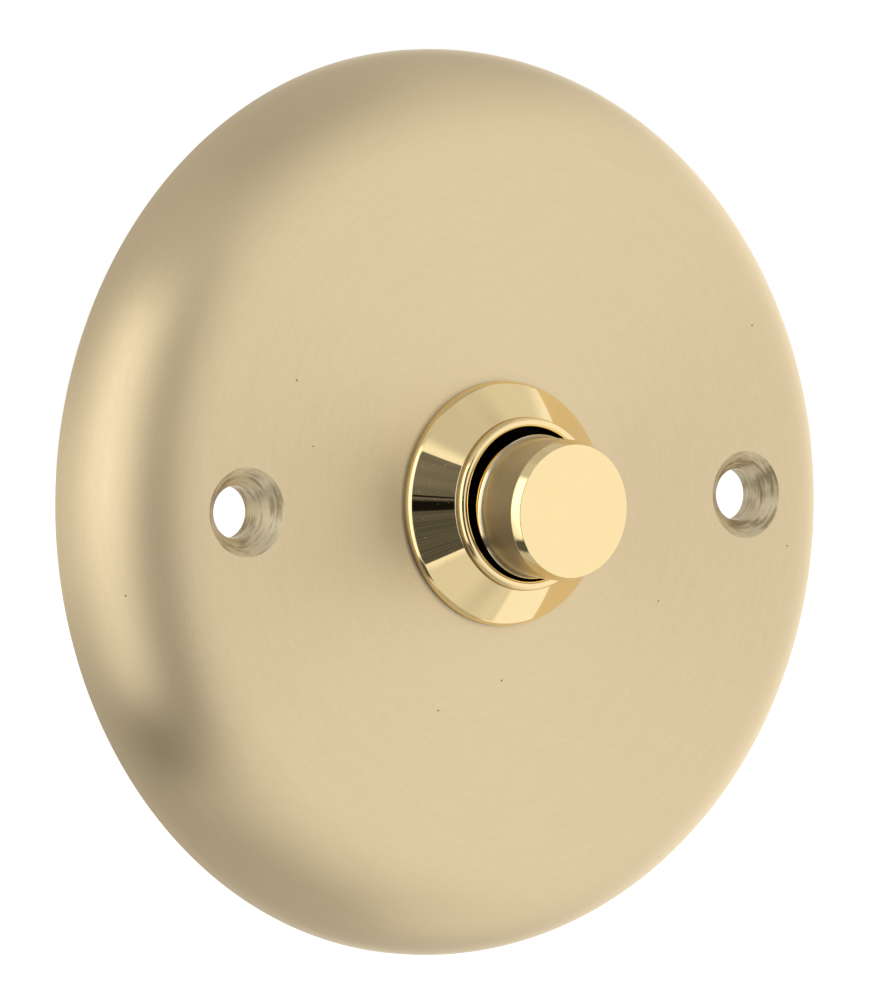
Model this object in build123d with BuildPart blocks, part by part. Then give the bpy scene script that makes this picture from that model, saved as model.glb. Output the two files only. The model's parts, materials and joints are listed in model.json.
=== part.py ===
from build123d import *
import math
import os

# Round brass bell push for a door frame or a wall.
# The wall is the plane Y = 0, the face looks along -Y, +Z is up, and the origin is the
# centre of the plate's back. Heights are distances from the wall, in millimetres.

# Plate: a cast and turned brass dish, open towards the wall
plate_diameter = 76.0
plate_depth = 10.5
plate_wall = 3.3
edge_height = 1.0
crown_lift = 0.3
flat_radius = 18.0
rim_break = 0.25
shank_clearance = 0.15

# Fixing holes for a countersunk wood screw of 4 mm
fixing_spacing = 52.0
fixing_hole_diameter = 4.4
fixing_sink_diameter = 7.4
fixing_sink_angle = 90.0

# Bezel: turned, with a low rim, a straight cone, a raised lip whose roundings are shares of
# its width, and a threaded shank that passes through the plate
bezel_diameter = 20.4
bezel_rim_height = 0.7
bezel_height = 4.1
rim_round = 0.8
lip_width = 0.8
lip_rise = 0.85
lip_foot_round = 0.1
lip_outer_share = 0.6
lip_inner_share = 0.35
shank_wall = 1.0
shank_chamfer = 0.25

# Toothed washer and nut on the shank. The washer bears on the plate behind the bezel's rim,
# and the nut's flats stay a little inside the washer's edge
nut_sides = 6
nut_inset = 0.3
nut_thickness = 1.7
nut_chamfer = 0.35
washer_inset = 0.3
washer_thickness = 0.5
washer_ring_width = 0.9
washer_teeth = 12
tooth_width = 1.5
thread_proud = 0.1
thread_fit = 0.05

# Button: loose in the bezel, so that its front hangs a little. A bevelled collar guides it
button_diameter = 11.7
collar_diameter = 12.0
collar_proud = 0.9
collar_bevel = 0.25
button_gap = 0.4
button_proud = 5.8
button_droop = 3.6
flange_step = 0.7
flange_thickness = 1.2
flange_clearance = 0.3
seat_gap = 0.05
edge_bevel_in = 0.55
edge_bevel_back = 0.85
edge_soften = 0.12
button_travel = 1.5

# Plunger: insulating pin with a round head under the button
plunger_diameter = 3.6
plunger_head_diameter = 11.2
plunger_head_thickness = 1.0
plunger_dome_diameter = 7.4
plunger_dome = 0.6
plunger_fit = 0.08
dome_gap = 0.1
spigot_diameter = 2.4
groove_depth = 0.35
spigot_end = 0.6

# Return spring round the guide bush
spring_diameter = 8.6
spring_wire = 0.7
spring_turns = 3.75

# Moulded base that carries the contacts
base_margin = 0.7
base_thickness = 1.6
base_gap = 0.3
base_rim_width = 0.8
base_rim_height = 0.6
boss_rim_gap = 0.35
bush_length = 3.3
bush_wall = 1.2
bush_gap = 0.05
recess_gap = 0.5
recess_depth = 0.5
ridge_width = 0.8
ridge_height = 0.5
ridge_length = 6.0
ridge_clearance = 0.15
moulding_round = 0.2

# Bosses in the plate, and the screws that hold the base to them
boss_clearance = 0.5
boss_count = 3
boss_diameter = 5.2
boss_draft = 3.0
boss_root_round = 0.5
base_screw_diameter = 2.5
base_screw_head_diameter = 4.4
base_screw_head_height = 1.5
base_screw_bite = 2.6
tapping_spare = 0.7
spring_washer_thickness = 0.5
spring_washer_width = 0.85
spring_washer_slit = 0.35

# Bridging disc and its clip on the plunger
disc_diameter = 12.0
disc_thickness = 0.5
disc_clearance = 0.3
disc_fit = 0.05
clip_diameter = 4.8
clip_thickness = 0.4
clip_band = 0.55
clip_teeth = 3
clip_tooth_width = 1.1
clip_mouth = 1.5
clip_fit = 0.03

# Contact strips, one each side, with their silver tips
strip_width = 6.0
strip_corner = 1.5
finger_width = 3.0
strip_thickness = 0.4
strip_margin = 0.3
crank_gap = 1.4
crank_run = 1.0
crank_round = 0.35
finger_overhang = 0.4
tip_inset = 0.4
tip_diameter = 1.8
tip_height = 0.25
tip_stem_diameter = 1.0
contact_gap = 0.05

# Terminals: an insert moulded in the base, a clamp washer and a slotted screw
terminal_gap = 1.4
insert_diameter = 4.2
insert_collar = 0.4
insert_groove = 0.2
insert_fit = 0.02
terminal_screw_diameter = 2.5
terminal_head_diameter = 4.6
terminal_head_height = 1.5
terminal_washer_diameter = 5.0
terminal_washer_thickness = 0.4
washer_hole_clearance = 0.15
slot_width = 0.7
slot_depth = 0.7
screw_slot_turn = 30.0
screw_head_round = 0.3
screw_tip_chamfer = 0.15

# Rivets that keep the strips from turning
rivet_gap = 0.15
rivet_diameter = 1.4
rivet_head_diameter = 2.2
rivet_head_height = 0.5
rivet_head_round = 0.25
rivet_fit = 0.05

# Radii that follow, from the button outwards
plate_radius = plate_diameter / 2
button_radius = button_diameter / 2
collar_radius = collar_diameter / 2
bezel_bore_radius = collar_radius + button_gap
lip_radius = bezel_bore_radius + lip_width
lip_outer_round = lip_width * lip_outer_share
lip_inner_round = lip_width * lip_inner_share
counterbore_radius = bezel_bore_radius + flange_step
flange_radius = counterbore_radius - flange_clearance
shank_radius = counterbore_radius + shank_wall
washer_radius = bezel_diameter / 2 - washer_inset
nut_across_flats = 2 * (washer_radius - nut_inset)
nut_corner_radius = nut_across_flats / 2 / math.cos(math.pi / nut_sides)
boss_radius = boss_diameter / 2
boss_circle_radius = nut_corner_radius + boss_clearance + boss_root_round + boss_radius

# Radii that follow, from the plunger outwards
stem_radius = plunger_diameter / 2
spigot_radius = spigot_diameter / 2
bush_bore_radius = stem_radius + plunger_fit
bush_radius = bush_bore_radius + bush_wall
disc_radius = disc_diameter / 2
tip_place = disc_radius - tip_inset - tip_diameter / 2
finger_end = tip_place - tip_diameter / 2 - finger_overhang
crank_end = disc_radius + crank_gap
crank_start = crank_end + crank_run
terminal_place = crank_start + terminal_gap + terminal_washer_diameter / 2
rivet_place = terminal_place + terminal_washer_diameter / 2 + rivet_gap + rivet_head_diameter / 2
strip_outer_end = rivet_place + rivet_head_diameter / 2 + strip_margin
base_radius = max(
    strip_outer_end + base_margin,
    boss_circle_radius + boss_radius + boss_rim_gap + base_rim_width,
)

# Heights that follow, from the plate's underside down to the wall
underside_height = plate_depth - plate_wall
washer_back = underside_height - washer_thickness
nut_back = washer_back - nut_thickness
shank_end = nut_back - thread_proud
base_front = shank_end - base_gap
base_back = base_front - base_thickness
recess_floor = base_back + recess_depth
disc_front = recess_floor - disc_clearance
disc_back = disc_front - disc_thickness
clip_back = disc_back - clip_thickness
plunger_end = clip_back - spigot_end
tip_front = disc_back - button_travel - contact_gap
finger_front = tip_front - tip_height
finger_back = finger_front - strip_thickness

# Heights that follow, from the base up to the button
droop = math.radians(button_droop)
bush_top = base_front + bush_length
head_back = bush_top + bush_gap + button_travel
head_front = head_back + plunger_head_thickness
dome_top = head_front + plunger_dome
button_back = dome_top + dome_gap
pivot_height = button_back + flange_thickness / 2
flange_reach = flange_thickness / 2 * math.cos(droop) + flange_radius * math.sin(droop)
shoulder_height = pivot_height + flange_reach + seat_gap
lip_height = plate_depth + bezel_height
button_front = lip_height + button_proud

# The crown touches the flat and the quarter round, which fixes its radius
crown_rise = plate_depth - edge_height
edge_radius = crown_rise - crown_lift
crown_run = plate_radius - edge_radius - flat_radius
crown_radius = (crown_run**2 + crown_rise**2 - edge_radius**2) / (2 * crown_lift)
crown_angle = math.degrees(math.asin(crown_run / (crown_radius - edge_radius)))
fixing_height = plate_depth - crown_radius + math.sqrt(
    crown_radius**2 - (fixing_spacing / 2 - flat_radius) ** 2
)


def front_at(x, z):
    """A plane on the wall that looks out of it, with its origin at x and z."""
    return Plane(origin=(x, 0, z), x_dir=(1, 0, 0), z_dir=(0, -1, 0))


def section_at(x, z):
    """A half section at x and z: radius across, height above the wall up."""
    return Plane(origin=(x, 0, z), x_dir=(1, 0, 0), z_dir=(0, 0, -1))


front = front_at(0, 0)
section = section_at(0, 0)
terminal_section = section_at(terminal_place, 0)
rivet_section = section_at(rivet_place, 0)
button_section = Plane(
    origin=(0, -pivot_height, 0),
    x_dir=(1, 0, 0),
    z_dir=(0, math.sin(droop), -math.cos(droop)),
)
boss_places = PolarLocations(boss_circle_radius, boss_count, start_angle=90)


def dish_curve(inset):
    """Straight edge, quarter round and crown, as far in as the flat of the face."""
    edge = Line((plate_radius - inset, 0), (plate_radius - inset, edge_height))
    quarter = JernArc(edge @ 1, (0, 1), edge_radius - inset, 90 - crown_angle)
    crown = JernArc(quarter @ 1, quarter % 1, crown_radius - inset, crown_angle)
    return crown @ 1


def ring(outer_radius, inner_radius):
    """A flat ring in the sketch that is open."""
    Circle(outer_radius)
    Circle(inner_radius, mode=Mode.SUBTRACT)


# Escutcheon plate
with BuildPart() as escutcheon_plate:
    with BuildSketch(section):
        with BuildLine():
            face_end = dish_curve(0)
            inside_end = dish_curve(plate_wall)
            hole_radius = shank_radius + shank_clearance
            Polyline(face_end, (hole_radius, plate_depth), (hole_radius, underside_height), inside_end)
            Line((plate_radius - plate_wall, 0), (plate_radius, 0))
        make_face()
    revolve(axis=Axis.Y)
    back_edges = escutcheon_plate.edges().filter_by(GeomType.CIRCLE).group_by(Axis.Y)[-1]
    chamfer(back_edges, rim_break)
    with BuildSketch(front.offset(underside_height)):
        with boss_places:
            Circle(boss_radius)
    extrude(amount=base_front - underside_height, taper=boss_draft)
    boss_roots = escutcheon_plate.edges().filter_by(GeomType.CIRCLE).filter_by(
        lambda edge: abs(edge.radius - boss_radius) < rim_break
        and abs(edge.center().Y + underside_height) < rim_break
    )
    fillet(boss_roots, boss_root_round)
    with BuildSketch(front.offset(base_front)):
        with boss_places:
            Circle(base_screw_diameter / 2 + thread_fit)
    extrude(amount=base_screw_bite + tapping_spare, mode=Mode.SUBTRACT)
    with Locations(front.offset(fixing_height)):
        with GridLocations(fixing_spacing, 0, 2, 1):
            CounterSinkHole(
                fixing_hole_diameter / 2,
                fixing_sink_diameter / 2,
                counter_sink_angle=fixing_sink_angle,
            )

# Bezel
with BuildPart() as bezel:
    with BuildSketch(section) as bezel_profile:
        bezel_radius = bezel_diameter / 2
        lip_foot = (lip_radius, lip_height - lip_rise)
        rim_corner = (bezel_radius, plate_depth + bezel_rim_height)
        with BuildLine():
            Polyline(
                (bezel_bore_radius, shoulder_height),
                (bezel_bore_radius, lip_height),
                (lip_radius, lip_height),
                lip_foot,
                rim_corner,
                (bezel_radius, plate_depth),
                (shank_radius, plate_depth),
                (shank_radius, shank_end),
                (counterbore_radius, shank_end),
                (counterbore_radius, shoulder_height),
                close=True,
            )
        make_face()
        lip_ends = bezel_profile.vertices().group_by(Axis.Y)[-1].sort_by(Axis.X)
        fillet(lip_ends[-1], lip_outer_round)
        fillet(lip_ends[0], lip_inner_round)
        fillet(bezel_profile.vertices().sort_by_distance(lip_foot)[0], lip_foot_round)
        fillet(bezel_profile.vertices().sort_by_distance(rim_corner)[0], rim_round)
        chamfer(bezel_profile.vertices().group_by(Axis.Y)[0].sort_by(Axis.X)[-1], shank_chamfer)
    revolve(axis=Axis.Y)

# Toothed washer and nut
with BuildPart() as lock_washer:
    with BuildSketch(front.offset(washer_back)):
        ring(washer_radius, washer_radius - washer_ring_width)
        tooth_length = washer_radius - washer_ring_width / 2 - shank_radius - thread_fit
        with PolarLocations(shank_radius + thread_fit + tooth_length / 2, washer_teeth):
            Rectangle(tooth_length, tooth_width)
        Circle(shank_radius + thread_fit, mode=Mode.SUBTRACT)
    extrude(amount=washer_thickness)

with BuildPart() as bezel_nut:
    with BuildSketch(front.offset(nut_back)):
        RegularPolygon(nut_across_flats / 2, nut_sides, major_radius=False)
        Circle(shank_radius + thread_fit, mode=Mode.SUBTRACT)
    extrude(amount=nut_thickness)
    with BuildSketch(section):
        with BuildLine():
            Polyline(
                (0, nut_back),
                (nut_corner_radius - 2 * nut_chamfer, nut_back),
                (nut_corner_radius, nut_back + nut_chamfer),
                (nut_corner_radius, washer_back),
                (0, washer_back),
                close=True,
            )
        make_face()
    revolve(axis=Axis.Y, mode=Mode.INTERSECT)

# Button
with BuildPart() as button:
    with BuildSketch(button_section) as button_profile:
        half_flange = flange_thickness / 2
        head_length = (button_front - pivot_height) / math.cos(droop)
        collar_length = (lip_height + collar_proud - pivot_height) / math.cos(droop)
        with BuildLine():
            Polyline(
                (0, -half_flange),
                (flange_radius, -half_flange),
                (flange_radius, half_flange),
                (collar_radius, half_flange),
                (collar_radius, collar_length - collar_bevel),
                (button_radius, collar_length),
                (button_radius, head_length - edge_bevel_back),
                (button_radius - edge_bevel_in, head_length),
                (0, head_length),
                close=True,
            )
        make_face()
        bevel_ends = button_profile.vertices().sort_by(Axis.Y)[-3:].sort_by(Axis.X)[-2:]
        fillet(bevel_ends, edge_soften)
        fillet(button_profile.vertices().group_by(Axis.X)[-1], edge_soften)
    revolve(axis=Axis(button_section.origin, button_section.y_dir))

# Plunger, with a groove for its clip
with BuildPart() as plunger:
    with BuildSketch(section):
        head_radius = plunger_head_diameter / 2
        groove_radius = spigot_radius - groove_depth
        dome_foot = (plunger_dome_diameter / 2, head_front)
        with BuildLine():
            TangentArc((0, dome_top), dome_foot, tangent=(1, 0))
            Polyline(
                dome_foot,
                (head_radius, head_front),
                (head_radius, head_back),
                (stem_radius, head_back),
                (stem_radius, disc_front),
                (spigot_radius, disc_front),
                (spigot_radius, disc_back),
                (groove_radius, disc_back),
                (groove_radius, clip_back),
                (spigot_radius, clip_back),
                (spigot_radius, plunger_end),
                (0, plunger_end),
                (0, dome_top),
            )
        make_face()
    revolve(axis=Axis.Y)
    chamfer(plunger.edges().group_by(Axis.Y)[-1], groove_depth)

# Return spring, with ground ends
with BuildPart() as return_spring:
    spring_length = head_back - base_front
    with BuildLine() as coil:
        Helix(
            pitch=spring_length / spring_turns,
            height=spring_length,
            radius=(spring_diameter - spring_wire) / 2,
            center=(0, -base_front, 0),
            direction=(0, -1, 0),
        )
    with BuildSketch(Plane(origin=coil.line @ 0, z_dir=coil.line % 0)):
        Circle(spring_wire / 2)
    sweep()
    split(bisect_by=front.offset(base_front), keep=Keep.TOP)
    split(bisect_by=front.offset(head_back), keep=Keep.BOTTOM)

# Moulded contact base
with BuildPart() as contact_base:
    with BuildSketch(front.offset(base_back)):
        Circle(base_radius)
    extrude(amount=base_thickness)
    with BuildSketch(front.offset(base_front)):
        ring(base_radius, base_radius - base_rim_width)
    extrude(amount=base_rim_height)
    with BuildSketch(front.offset(base_front)):
        Circle(bush_radius)
    extrude(amount=bush_length)
    with BuildSketch(front.offset(base_back)):
        ridge_pitch = strip_width + 2 * ridge_clearance + ridge_width
        with GridLocations(2 * terminal_place, ridge_pitch, 2, 2):
            SlotOverall(ridge_length, ridge_width)
    extrude(amount=-ridge_height)
    fillet(contact_base.edges().filter_by(GeomType.CIRCLE).group_by(Axis.Y)[0], moulding_round)
    with BuildSketch(front.offset(base_back)):
        Circle(disc_radius + recess_gap)
    extrude(amount=recess_depth, mode=Mode.SUBTRACT)
    with BuildSketch(front.offset(base_back)):
        Circle(bush_bore_radius)
        with GridLocations(2 * terminal_place, 0, 2, 1):
            Circle(insert_diameter / 2 + insert_fit)
        with GridLocations(2 * rivet_place, 0, 2, 1):
            Circle(rivet_diameter / 2 + rivet_fit)
        with boss_places:
            Circle(base_screw_diameter / 2 + washer_hole_clearance)
    extrude(amount=bush_top - base_back, mode=Mode.SUBTRACT)


def slotted_screw(x, z, diameter, head_diameter, head_height, seat, tip, slot_turn):
    """A slotted screw at x and z that enters towards the front, with its head below its seat."""
    plane = section_at(x, z)
    with BuildPart() as screw:
        with BuildSketch(plane) as profile:
            with BuildLine():
                Polyline(
                    (0, seat - head_height),
                    (head_diameter / 2, seat - head_height),
                    (head_diameter / 2, seat),
                    (diameter / 2, seat),
                    (diameter / 2, tip),
                    (0, tip),
                    close=True,
                )
            make_face()
            fillet(profile.vertices().group_by(Axis.X)[-1].sort_by(Axis.Y)[0], screw_head_round)
            chamfer(profile.vertices().group_by(Axis.Y)[-1].sort_by(Axis.X)[-1], screw_tip_chamfer)
        revolve(axis=Axis(plane.origin, plane.y_dir))
        with BuildSketch(front_at(x, z).offset(seat - head_height)):
            Rectangle(head_diameter * 2, slot_width, rotation=slot_turn)
        extrude(amount=slot_depth, mode=Mode.SUBTRACT)
    return screw.part


# Screws and spring washers that hold the base to the bosses
with BuildPart() as base_screws:
    for number, place in enumerate(boss_places):
        add(
            slotted_screw(
                place.position.X,
                place.position.Y,
                base_screw_diameter,
                base_screw_head_diameter,
                base_screw_head_height,
                base_back - spring_washer_thickness,
                base_front + base_screw_bite,
                number * screw_slot_turn,
            )
        )

with BuildPart() as spring_washers:
    with BuildSketch(front.offset(base_back - spring_washer_thickness)):
        with boss_places:
            washer_inner = base_screw_diameter / 2 + washer_hole_clearance
            ring(washer_inner + spring_washer_width, washer_inner)
            with Locations((washer_inner + spring_washer_width / 2, 0)):
                Rectangle(spring_washer_width * 2, spring_washer_slit, mode=Mode.SUBTRACT)
    extrude(amount=spring_washer_thickness)

# Bridging disc and retaining clip
with BuildPart() as bridge_disc:
    with BuildSketch(front.offset(disc_back)):
        ring(disc_radius, spigot_radius + disc_fit)
    extrude(amount=disc_thickness)

with BuildPart() as retaining_clip:
    with BuildSketch(front.offset(clip_back)):
        ring(clip_diameter / 2, clip_diameter / 2 - clip_band)
        with PolarLocations(0, clip_teeth, start_angle=90):
            tooth_reach = clip_diameter / 2 - clip_band / 2
            with Locations((tooth_reach / 2, 0)):
                Rectangle(tooth_reach, clip_tooth_width)
        Circle(spigot_radius - groove_depth + clip_fit, mode=Mode.SUBTRACT)
        with Locations((0, -clip_diameter / 2)):
            Rectangle(clip_mouth, clip_diameter, mode=Mode.SUBTRACT)
    extrude(amount=clip_thickness)

# Right-hand contact strip: flat on the base, cranked back under the disc
with BuildPart() as contact_strip:
    with BuildSketch(section):
        with BuildLine():
            bend = FilletPolyline(
                (strip_outer_end, base_back),
                (crank_start, base_back),
                (crank_end, finger_front),
                (finger_end, finger_front),
                radius=crank_round,
            )
            offset(bend, amount=strip_thickness, side=Side.LEFT)
        make_face()
    extrude(amount=strip_width / 2, both=True)
    with BuildSketch(front.offset(finger_back)):
        with Locations(((strip_outer_end + crank_start) / 2, 0)):
            RectangleRounded(strip_outer_end - crank_start, strip_width, strip_corner)
        with Locations(((finger_end + strip_outer_end) / 2, 0)):
            SlotOverall(strip_outer_end - finger_end, finger_width)
    extrude(amount=base_back - finger_back, mode=Mode.INTERSECT)
    with BuildSketch(front.offset(finger_back)):
        with Locations((terminal_place, 0)):
            Circle(terminal_screw_diameter / 2 + washer_hole_clearance)
        with Locations((rivet_place, 0)):
            Circle(rivet_diameter / 2 + rivet_fit)
        with Locations((tip_place, 0)):
            Circle(tip_stem_diameter / 2 + rivet_fit)
    extrude(amount=base_back - finger_back, mode=Mode.SUBTRACT)

with BuildPart() as contact_tip:
    with BuildSketch(front.offset(finger_front)):
        with Locations((tip_place, 0)):
            Circle(tip_diameter / 2)
    extrude(amount=tip_height)
    with BuildSketch(front.offset(finger_front)):
        with Locations((tip_place, 0)):
            Circle(tip_stem_diameter / 2)
    extrude(amount=-strip_thickness)

# Right-hand terminal
with BuildPart() as terminal_insert:
    with BuildSketch(terminal_section):
        insert_radius = insert_diameter / 2
        insert_bore = terminal_screw_diameter / 2 + thread_fit
        with BuildLine():
            Polyline(
                (insert_bore, base_back),
                (insert_radius, base_back),
                (insert_radius, base_back + insert_collar),
                (insert_radius - insert_groove, base_back + insert_collar),
                (insert_radius - insert_groove, base_front - insert_collar),
                (insert_radius, base_front - insert_collar),
                (insert_radius, base_front),
                (insert_bore, base_front),
                close=True,
            )
        make_face()
    revolve(axis=Axis(terminal_section.origin, terminal_section.y_dir))

with BuildPart() as terminal_screw:
    add(
        slotted_screw(
            terminal_place,
            0,
            terminal_screw_diameter,
            terminal_head_diameter,
            terminal_head_height,
            base_back - strip_thickness - terminal_washer_thickness,
            base_front,
            -screw_slot_turn,
        )
    )

with BuildPart() as terminal_washer:
    with BuildSketch(front.offset(base_back - strip_thickness - terminal_washer_thickness)):
        with Locations((terminal_place, 0)):
            ring(terminal_washer_diameter / 2, terminal_screw_diameter / 2 + washer_hole_clearance)
    extrude(amount=terminal_washer_thickness)

with BuildPart() as strip_rivet:
    with BuildSketch(rivet_section):
        with BuildLine():
            Polyline(
                (0, base_back - strip_thickness - rivet_head_height),
                (rivet_head_diameter / 2, base_back - strip_thickness - rivet_head_height),
                (rivet_head_diameter / 2, base_back - strip_thickness),
                (rivet_diameter / 2, base_back - strip_thickness),
                (rivet_diameter / 2, base_front),
                (rivet_head_diameter / 2, base_front),
                (rivet_head_diameter / 2, base_front + rivet_head_height),
                (0, base_front + rivet_head_height),
                close=True,
            )
        make_face()
    revolve(axis=Axis(rivet_section.origin, rivet_section.y_dir))
    head_rims = strip_rivet.edges().filter_by(GeomType.CIRCLE)
    fillet(head_rims.group_by(Axis.Y)[0] + head_rims.group_by(Axis.Y)[-1], rivet_head_round)

# The left-hand contact and terminal are the mirror image of the right
pairs = {
    "contact_strip": contact_strip,
    "contact_tip": contact_tip,
    "terminal_insert": terminal_insert,
    "terminal_screw": terminal_screw,
    "terminal_washer": terminal_washer,
    "strip_rivet": strip_rivet,
}
finished = {
    "escutcheon_plate": escutcheon_plate,
    "bezel": bezel,
    "lock_washer": lock_washer,
    "bezel_nut": bezel_nut,
    "button": button,
    "plunger": plunger,
    "return_spring": return_spring,
    "contact_base": contact_base,
    "base_screws": base_screws,
    "spring_washers": spring_washers,
    "bridge_disc": bridge_disc,
    "retaining_clip": retaining_clip,
}
for name, right in pairs.items():
    with BuildPart() as left:
        mirror(right.part, about=Plane.YZ)
    finished[name + "_right"] = right
    finished[name + "_left"] = left

os.makedirs("parts", exist_ok=True)
for name, piece in finished.items():
    piece.part.label = name
    export_step(piece.part, f"parts/{name}.step")
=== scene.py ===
# %% [markdown]
# A round brass bell push, as it hangs on a door frame: a satin plate brushed in circles, a
# polished bezel and a polished button, and behind them the contacts that close the bell's
# circuit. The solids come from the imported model. They fix every size and every joint, so this
# script only dresses them. Three turned pieces and the spring are made again with finer
# surfaces, and each of the others gets its finish.

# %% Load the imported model
import json
import math

import bmesh
import bpy
from mathutils import Matrix, Vector


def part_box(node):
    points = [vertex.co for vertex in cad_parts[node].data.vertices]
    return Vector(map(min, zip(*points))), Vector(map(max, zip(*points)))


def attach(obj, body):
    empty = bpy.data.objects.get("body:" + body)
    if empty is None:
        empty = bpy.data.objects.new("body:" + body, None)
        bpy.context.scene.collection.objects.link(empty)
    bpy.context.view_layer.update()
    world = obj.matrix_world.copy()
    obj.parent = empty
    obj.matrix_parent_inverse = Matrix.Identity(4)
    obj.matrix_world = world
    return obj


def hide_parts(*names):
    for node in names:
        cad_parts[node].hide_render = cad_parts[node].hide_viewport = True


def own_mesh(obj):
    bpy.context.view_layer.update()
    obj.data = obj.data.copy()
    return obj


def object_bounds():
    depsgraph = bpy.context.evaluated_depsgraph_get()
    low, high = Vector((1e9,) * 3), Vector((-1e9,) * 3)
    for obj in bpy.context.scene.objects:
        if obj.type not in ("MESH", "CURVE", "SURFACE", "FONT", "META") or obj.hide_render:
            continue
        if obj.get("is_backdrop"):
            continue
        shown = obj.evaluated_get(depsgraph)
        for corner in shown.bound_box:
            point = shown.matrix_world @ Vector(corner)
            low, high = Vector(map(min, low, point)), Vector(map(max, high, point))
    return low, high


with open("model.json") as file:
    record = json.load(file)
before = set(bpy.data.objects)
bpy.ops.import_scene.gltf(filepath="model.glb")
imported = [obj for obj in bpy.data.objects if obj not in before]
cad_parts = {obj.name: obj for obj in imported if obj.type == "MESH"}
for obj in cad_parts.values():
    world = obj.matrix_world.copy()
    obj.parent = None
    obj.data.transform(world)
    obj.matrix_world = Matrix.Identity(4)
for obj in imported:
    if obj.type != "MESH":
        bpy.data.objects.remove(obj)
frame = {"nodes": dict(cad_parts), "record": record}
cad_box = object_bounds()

MM = 0.001
TURN = 2 * math.pi

# %% [markdown]
# The camera comes first, because everything after it is judged through it. The picture was
# taken from far away with a long lens, 36 degrees to the left of the plate's axis and level
# with it. The lens is given by the distance, so that the plate fills the picture as it should:
# one millimetre at the plate is a fixed number of picture points. The plate is turned a little
# on its axis, so the right hole is higher than the left one.

# %% Camera
PICTURE_WIDTH = 874
PICTURE_HEIGHT = 1000
CAMERA_TURN = math.radians(36.28)
CAMERA_TILT = math.radians(-0.06)
CAMERA_ROLL = math.radians(-1.13)
PLATE_TURN = math.radians(2.58)
CAMERA_DISTANCE = 936 * MM
POINTS_PER_MM = 11.907
CENTRE_ACROSS = 427.4
CENTRE_DOWN = 502.0
SENSOR_HEIGHT = 36.0
NEAREST_SEEN = 0.01
FARTHEST_SEEN = 20.0

# Turning the object in front of a fixed camera is the same as turning the camera round it
object_seen = (
    Matrix.Rotation(CAMERA_ROLL, 3, "Z")
    @ Matrix.Rotation(CAMERA_TILT, 3, "X")
    @ Matrix.Rotation(CAMERA_TURN, 3, "Y")
    @ Matrix.Rotation(PLATE_TURN, 3, "Z")
)
wall_to_picture = Matrix(((1, 0, 0), (0, 0, 1), (0, -1, 0)))
view = object_seen @ wall_to_picture
aside = (PICTURE_WIDTH / 2 - CENTRE_ACROSS) / POINTS_PER_MM * MM
above = (CENTRE_DOWN - PICTURE_HEIGHT / 2) / POINTS_PER_MM * MM
camera_place = view.transposed() @ Vector((aside, above, CAMERA_DISTANCE))

camera_data = bpy.data.cameras.new("camera")
camera_data.sensor_fit = "VERTICAL"
camera_data.sensor_height = SENSOR_HEIGHT
camera_data.lens = SENSOR_HEIGHT * CAMERA_DISTANCE / MM * POINTS_PER_MM / PICTURE_HEIGHT
camera_data.clip_start = NEAREST_SEEN
camera_data.clip_end = FARTHEST_SEEN
camera = bpy.data.objects.new("camera", camera_data)
bpy.context.scene.collection.objects.link(camera)
camera.matrix_world = Matrix.Translation(camera_place) @ view.transposed().to_4x4()
bpy.context.scene.camera = camera
bpy.context.scene.view_settings.view_transform = "Standard"
print("camera at", [round(value, 3) for value in camera_place], "lens", round(camera_data.lens, 1))

# %% [markdown]
# Polished metal has hardly a colour of its own: it shows the room. So the room is made with
# care. A world shader gives the light for each direction: a plain pale studio, a tall bright
# window to the left, and between the window and the camera a dark gap where the photographer
# stands. A direction is given by two angles, how far left of the plate's axis it lies and how
# high, and the room stays level when the plate is turned. The helpers below make chains of
# nodes short enough to read.

# %% Node helpers
NOISE_LOW = 0.3
NOISE_HIGH = 0.7


def wire(tree, source, target):
    """Sets a socket to a number or a colour, or links it to another socket."""
    if isinstance(source, bpy.types.NodeSocket):
        tree.links.new(source, target)
    else:
        target.default_value = source


def calc(tree, operation, *values):
    """A Math node, returned as its output socket."""
    node = tree.nodes.new("ShaderNodeMath")
    node.operation = operation
    for socket, value in zip(node.inputs, values):
        wire(tree, value, socket)
    return node.outputs[0]


def product(tree, *values):
    """Several numbers multiplied."""
    result = values[0]
    for value in values[1:]:
        result = calc(tree, "MULTIPLY", result, value)
    return result


def ramp(tree, value, low, high, from_value=0.0, to_value=1.0, smooth=True):
    """One value below low, another above high, and a smooth or straight passage between."""
    node = tree.nodes.new("ShaderNodeMapRange")
    node.interpolation_type = "SMOOTHSTEP" if smooth else "LINEAR"
    settings = {"Value": value, "From Min": low, "From Max": high, "To Min": from_value, "To Max": to_value}
    for name, setting in settings.items():
        wire(tree, setting, node.inputs[name])
    return node.outputs["Result"]


def band(tree, value, low, high, soft):
    """1 between low and high, with soft ends."""
    rising = ramp(tree, value, low - soft, low + soft)
    falling = ramp(tree, value, high - soft, high + soft)
    return calc(tree, "SUBTRACT", rising, falling)


def blend(tree, amount, first, second):
    """first where amount is 0, second where it is 1, for plain numbers."""
    node = tree.nodes.new("ShaderNodeMix")
    wire(tree, amount, node.inputs[0])
    wire(tree, first, node.inputs[2])
    wire(tree, second, node.inputs[3])
    return node.outputs[0]


def split(tree, vector):
    """The three parts of a vector."""
    node = tree.nodes.new("ShaderNodeSeparateXYZ")
    wire(tree, vector, node.inputs[0])
    return node.outputs


def vector_of(tree, x, y, z):
    """A vector from three parts."""
    node = tree.nodes.new("ShaderNodeCombineXYZ")
    for socket, value in zip(node.inputs, (x, y, z)):
        wire(tree, value, socket)
    return node.outputs[0]


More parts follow.
